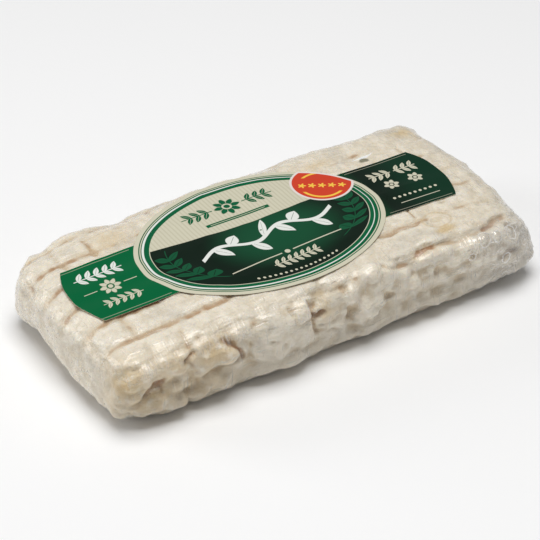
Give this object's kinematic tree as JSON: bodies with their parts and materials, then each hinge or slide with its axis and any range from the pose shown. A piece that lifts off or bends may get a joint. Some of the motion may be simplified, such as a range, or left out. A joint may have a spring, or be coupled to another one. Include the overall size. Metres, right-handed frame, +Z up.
{
  "type": "goat cheese brick",
  "caption": "Brick of soft goat cheese with a bloomy, mat-marked rind, tightly wrapped in clear film, with an oval paper label with end tabs lying along its top.",
  "frame": {"origin": "middle of the bounding box, on the face the brick rests on", "axes": "+X along the brick towards the end with the darker label tab, +Y across it away from the folded long side, +Z up from the resting face"},
  "size_m": [0.1518, 0.0722, 0.0289],
  "materials": {
    "rind_in_film": "cream bloomy rind seen through tight clear film",
    "label_paper": "satin printed label paper, green and cream"
  },
  "bodies": {
    "root": {"cheese": "rind_in_film", "label": "label_paper"}
  },
  "joints": []
}
